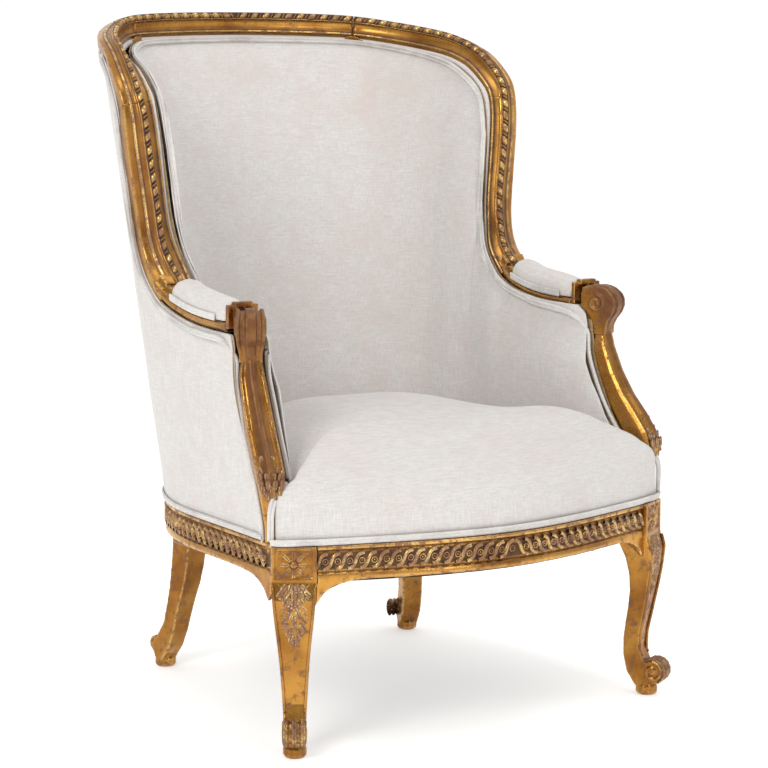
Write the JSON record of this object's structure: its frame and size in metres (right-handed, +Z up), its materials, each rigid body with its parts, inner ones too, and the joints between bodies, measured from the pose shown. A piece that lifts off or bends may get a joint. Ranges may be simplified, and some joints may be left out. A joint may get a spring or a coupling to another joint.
{
  "type": "upholstered bergere armchair",
  "caption": "Upholstered wing-sided armchair with a carved gilded frame, curved closed back, padded arms with scrolled hand holds, tight sprung seat and scroll-footed cabriole legs.",
  "frame": {"origin": "on the floor under the middle of the chair's outline", "axes": "+Z up, +Y to the back of the chair, +X to the sitter's left hand"},
  "size_m": [0.7192, 0.8468, 1.0394],
  "materials": {
    "gilt_wood": "carved beech, water gilded, worn through to red-brown clay on the edges",
    "bare_beech": "plain sawn beech",
    "screw_steel": "dull steel",
    "spring_steel": "drawn steel wire",
    "stuffing": "curled hair and cotton wadding",
    "hessian": "coarse jute hessian",
    "jute_webbing": "woven jute webbing",
    "dust_cloth": "thin black cotton",
    "lining": "unbleached cotton",
    "welt": "flat double welt of the cover cloth",
    "linen": "worn off-white linen"
  },
  "bodies": {
    "root": {"back_rail": "gilt_wood", "back_tack_rail": "bare_beech", "back_webbing": "jute_webbing", "corner_screws": "screw_steel", "crest_rail": "gilt_wood", "cross_webbing": "jute_webbing", "dust_cloth": "dust_cloth", "foot_welt": "welt", "frame_dowels": "bare_beech", "front_rail": "gilt_wood", "inside_cover": "linen", "inside_hessian": "hessian", "inside_padding": "stuffing", "inside_welt": "welt", "left_arm_pad": "linen", "left_arm_pad_welt": "welt", "left_arm_rail": "gilt_wood", "left_arm_support": "gilt_wood", "left_back_stile": "gilt_wood", "left_corner_block": "bare_beech", "left_crest_shoulder": "gilt_wood", "left_front_leg": "gilt_wood", "left_rear_leg": "gilt_wood", "left_side_rail": "gilt_wood", "left_side_upright": "bare_beech", "long_webbing": "jute_webbing", "outside_cover": "linen", "outside_lining": "lining", "outside_welt": "welt", "right_arm_pad": "linen", "right_arm_pad_welt": "welt", "right_arm_rail": "gilt_wood", "right_arm_support": "gilt_wood", "right_back_stile": "gilt_wood", "right_corner_block": "bare_beech", "right_crest_shoulder": "gilt_wood", "right_front_leg": "gilt_wood", "right_rear_leg": "gilt_wood", "right_side_rail": "gilt_wood", "right_side_upright": "bare_beech", "seat_cover": "linen", "seat_hessian": "hessian", "seat_padding": "stuffing", "seat_springs": "spring_steel", "seat_welt": "welt"}
  },
  "joints": []
}
